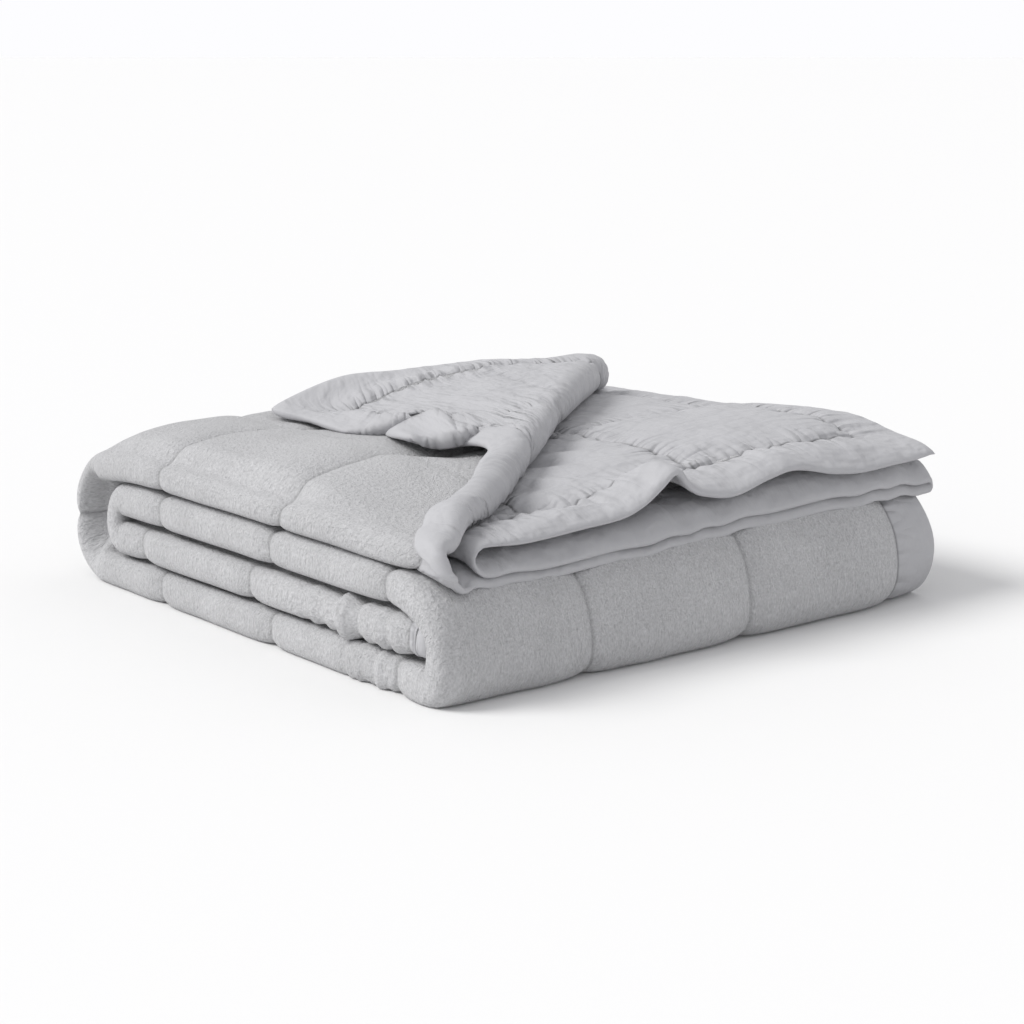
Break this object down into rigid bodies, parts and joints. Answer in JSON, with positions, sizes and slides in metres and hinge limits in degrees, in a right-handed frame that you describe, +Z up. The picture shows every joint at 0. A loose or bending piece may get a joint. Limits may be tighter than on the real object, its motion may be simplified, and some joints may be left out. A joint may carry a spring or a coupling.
{
  "type": "down alternative blanket",
  "caption": "Quilted down alternative blanket with a plush face and a smooth microfibre face, folded into a flat pile with one corner turned back",
  "frame": {"origin": "Centre of the folded pile's footprint, on the surface it rests on", "axes": "+Z up; X along the rolled layers, +X at the blunt near fold; Y across the strip, -Y at its closed fold"},
  "size_m": [0.6578, 0.6502, 0.2056],
  "materials": {
    "blanket": "matte plush outside, smooth microfibre where the corner is turned back"
  },
  "bodies": {
    "root": {"blanket": "blanket"}
  },
  "joints": []
}
